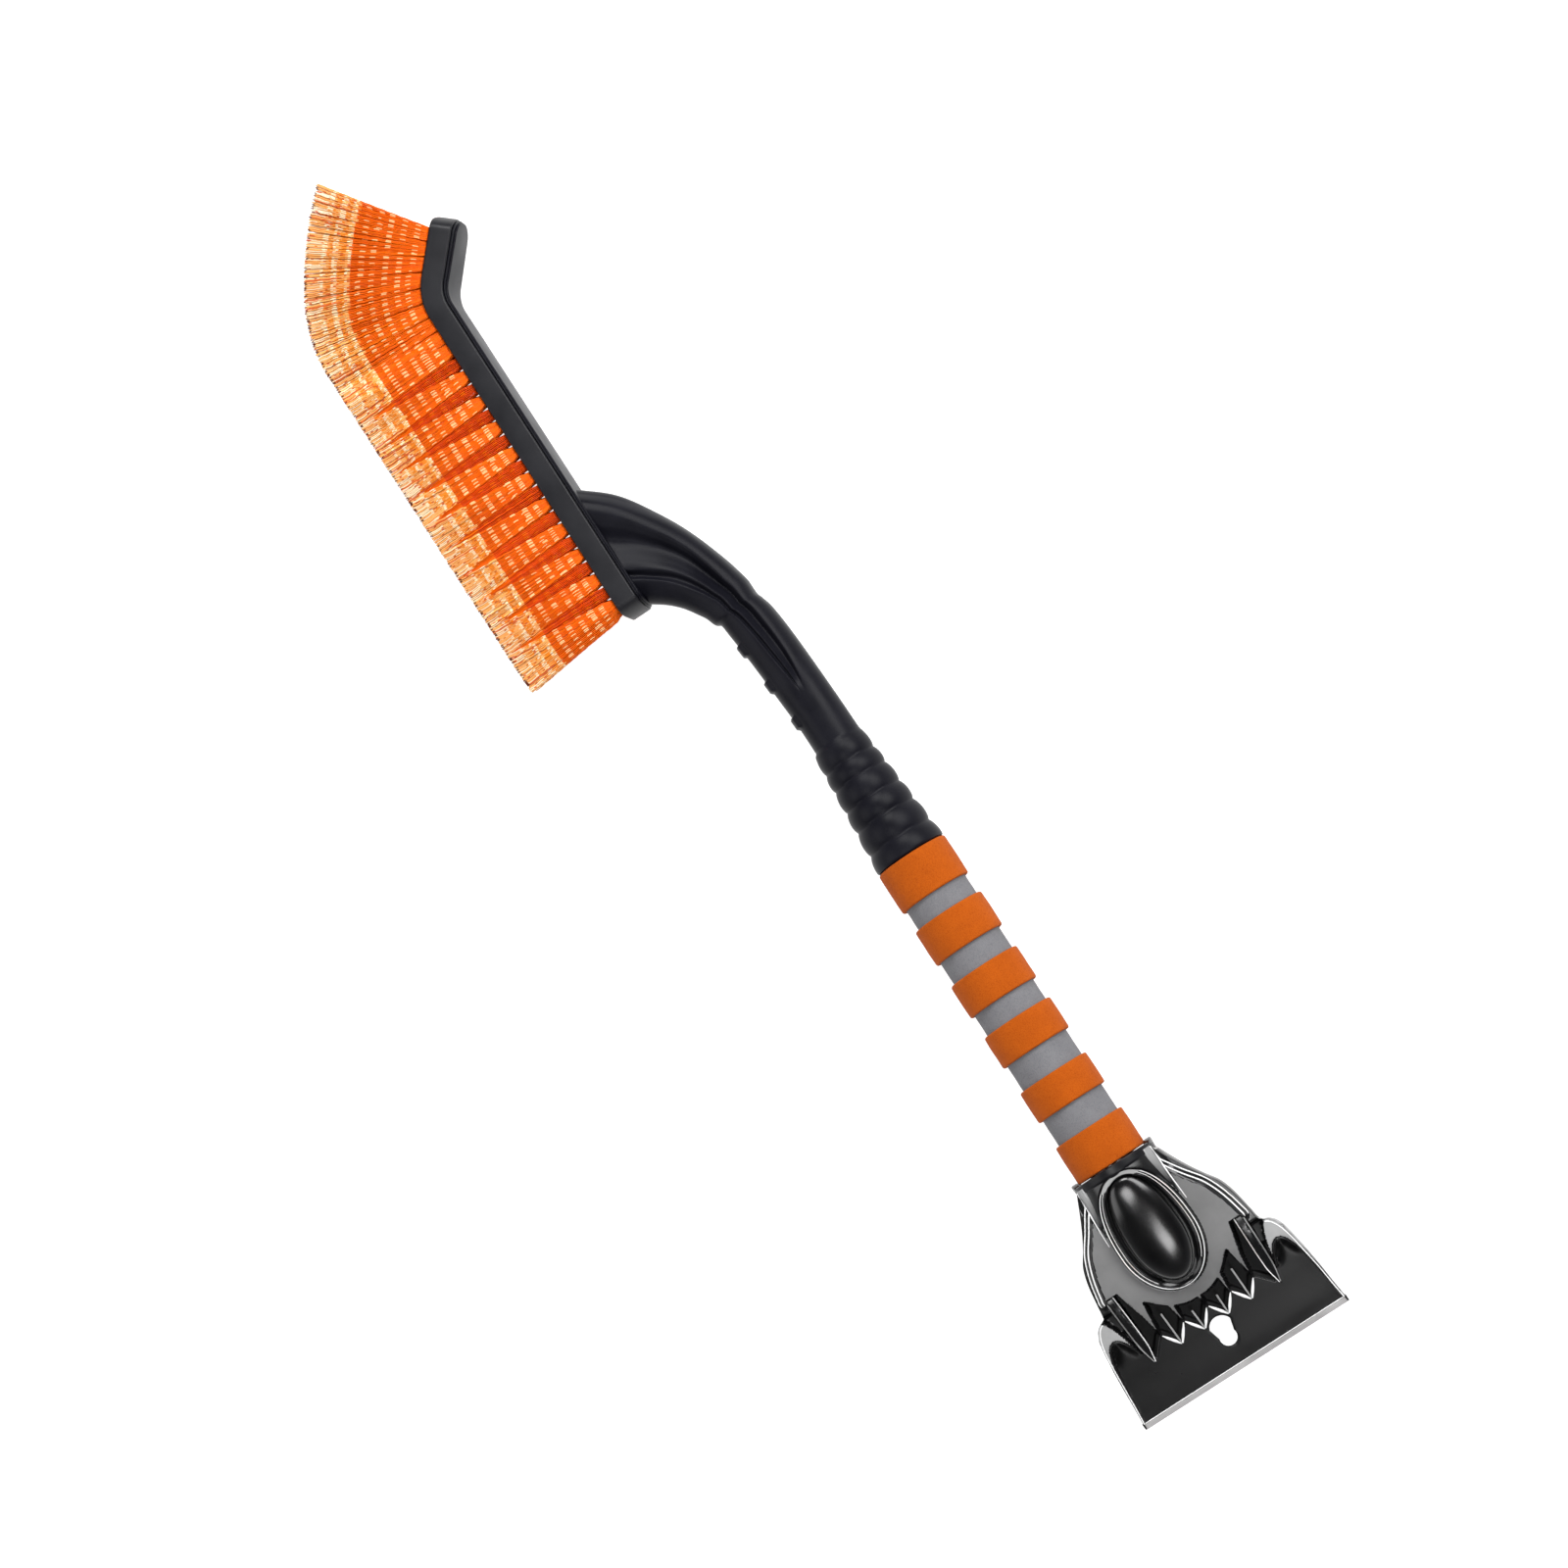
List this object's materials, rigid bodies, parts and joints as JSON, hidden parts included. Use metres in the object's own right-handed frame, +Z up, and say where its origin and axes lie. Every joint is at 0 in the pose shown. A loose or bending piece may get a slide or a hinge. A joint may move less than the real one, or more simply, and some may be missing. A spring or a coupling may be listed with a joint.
{
  "type": "snow brush scraper",
  "caption": "Long car snow brush with a foam banded grip, a flared ice scraper at one end and a curved arm with a bent bristle head at the other; the two halves twist and pull apart.",
  "frame": {"origin": "centre of the tool's footprint, on the surface it lies on, with the brush half locked on", "axes": "+X along the handle from the scraper to the brush, +Y towards the bristle tips, +Z up, away from the surface"},
  "size_m": [0.6868, 0.1588, 0.04],
  "materials": {
    "orange_foam": "matte",
    "grey_foam": "matte",
    "gloss_black": "gloss",
    "dome_black": "polished",
    "edge_grey": "satin",
    "matt_black": "satin",
    "block_black": "satin",
    "bristle_orange": "satin",
    "tube_aluminium": "satin",
    "screw_steel": "satin",
    "screw_black": "satin",
    "natural_nylon": "satin",
    "spigot_black": "satin"
  },
  "bodies": {
    "handle": {"handle_tube": "tube_aluminium", "foam_sleeve": "grey_foam", "foam_band_1": "orange_foam", "foam_band_2": "orange_foam", "foam_band_3": "orange_foam", "foam_band_4": "orange_foam", "foam_band_5": "orange_foam", "foam_band_6": "orange_foam", "shank_pin_1": "screw_steel", "shank_pin_2": "screw_steel", "scraper_body": "gloss_black", "edge_strip": "edge_grey", "thumb_rest": "dome_black"},
    "lock": {"lock_collar": "natural_nylon"},
    "brush": {"brush_arm": "matt_black", "coupling_spigot": "spigot_black", "collar_washer": "spigot_black", "washer_screw": "screw_steel", "spigot_screw": "screw_steel", "bristle_block": "block_black", "block_screw_1": "screw_black", "block_screw_2": "screw_black", "block_screw_3": "screw_black", "bristle_row_1": "bristle_orange", "bristle_row_2": "bristle_orange", "bristle_row_3": "bristle_orange", "bristle_row_4": "bristle_orange"}
  },
  "joints": [
    {"name": "brush_pull", "type": "slide", "parent": "handle", "child": "lock", "axis": [1, 0, 0], "range_m": [0, 0.075]},
    {"name": "brush_twist", "type": "hinge", "parent": "lock", "child": "brush", "pos_m": [-0.10234, -0.02506, 0.02], "axis": [1, 0, 0], "range_deg": [0, 90]}
  ]
}
